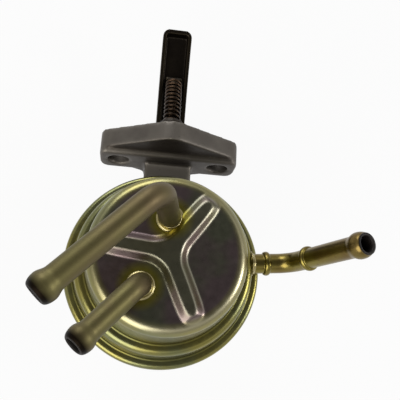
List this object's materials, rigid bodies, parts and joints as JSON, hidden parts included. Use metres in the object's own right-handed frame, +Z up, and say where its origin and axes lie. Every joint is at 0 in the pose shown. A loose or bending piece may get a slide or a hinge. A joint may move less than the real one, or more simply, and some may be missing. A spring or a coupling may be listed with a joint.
{
  "type": "mechanical fuel pump",
  "caption": "Mechanical diaphragm fuel pump with a pressed two-step cover, bent hose tubes, a die-cast neck and flange, and a sprung rocker arm.",
  "frame": {"origin": "middle of the mounting face, halfway between the two bolt holes", "axes": "+Y into the engine along the rocker arm, +Z up along the diaphragm towards the cover, +X along the line of the bolt holes towards the side tube"},
  "size_m": [0.0984, 0.14, 0.1051],
  "materials": {
    "zinc_plated_cover": "yellow zinc plated pressing, olive gold with violet and green tints",
    "zinc_plated_tube": "yellow zinc plated tube, satin",
    "casting": "die-cast, fine grain, matt",
    "arm_steel": "dark hardened pressed steel with a film of oil",
    "spring_steel": "dark drawn wire, oily sheen",
    "bright_steel": "ground steel",
    "plated_steel": "zinc plated sheet",
    "brass": "turned brass",
    "rubber": "black fuel-proof rubber",
    "diaphragm_fabric": "rubber-coated fabric, brown",
    "gasket": "pressed fibre"
  },
  "bodies": {
    "pump_body": {"housing": "casting", "top_cover": "zinc_plated_cover", "outlet_tube": "zinc_plated_tube", "return_tube": "zinc_plated_tube", "inlet_tube": "zinc_plated_tube", "cover_gasket": "gasket", "valve_body": "casting", "inlet_valve_seat": "brass", "inlet_valve_spring": "spring_steel", "inlet_valve_stem": "brass", "outlet_valve_seat": "brass", "outlet_valve_spring": "spring_steel", "outlet_valve_stem": "brass", "diaphragm": "diaphragm_fabric", "diaphragm_spring": "spring_steel", "oil_seal": "rubber", "seal_retainer": "plated_steel", "rocker_pin": "bright_steel", "pin_plugs": "plated_steel", "arm_spring": "spring_steel"},
    "rocker": {"rocker_arm": "arm_steel"},
    "link": {"link_lever": "bright_steel"},
    "rod": {"pull_rod": "bright_steel", "upper_plate": "plated_steel", "lower_plate": "plated_steel"},
    "inlet_disc": {"inlet_valve_disc": "rubber"},
    "outlet_disc": {"outlet_valve_disc": "rubber"}
  },
  "joints": [
    {"name": "rocker_hinge", "type": "hinge", "parent": "pump_body", "child": "rocker", "pos_m": [0, -0.015, -0.008], "axis": [1, 0, 0], "range_deg": [0, 6], "stiffness_Nm_per_rad": 1, "springref_deg": -8.59, "deforming": ["arm_spring"]},
    {"name": "link_hinge", "type": "hinge", "parent": "pump_body", "child": "link", "pos_m": [0, -0.015, -0.008], "axis": [1, 0, 0], "range_deg": [0, 6]},
    {"name": "rod_slide", "type": "slide", "parent": "pump_body", "child": "rod", "axis": [0, 0, 1], "range_m": [-0.0042, 0], "deforming": ["diaphragm_spring", "diaphragm"]},
    {"name": "inlet_disc_lift", "type": "slide", "parent": "pump_body", "child": "inlet_disc", "axis": [0, 0, -1], "range_m": [0, 0.0012], "stiffness_N_per_m": 20, "springref_m": -0.002, "deforming": ["inlet_valve_spring"]},
    {"name": "outlet_disc_lift", "type": "slide", "parent": "pump_body", "child": "outlet_disc", "axis": [0, 0, 1], "range_m": [0, 0.0012], "stiffness_N_per_m": 20, "springref_m": -0.002, "deforming": ["outlet_valve_spring"]}
  ],
  "couplings": [
    {"joint": "link_hinge", "follows": "rocker_hinge", "ratio": 1},
    {"joint": "rod_slide", "follows": "rocker_hinge", "m_per_rad": -0.0395}
  ]
}
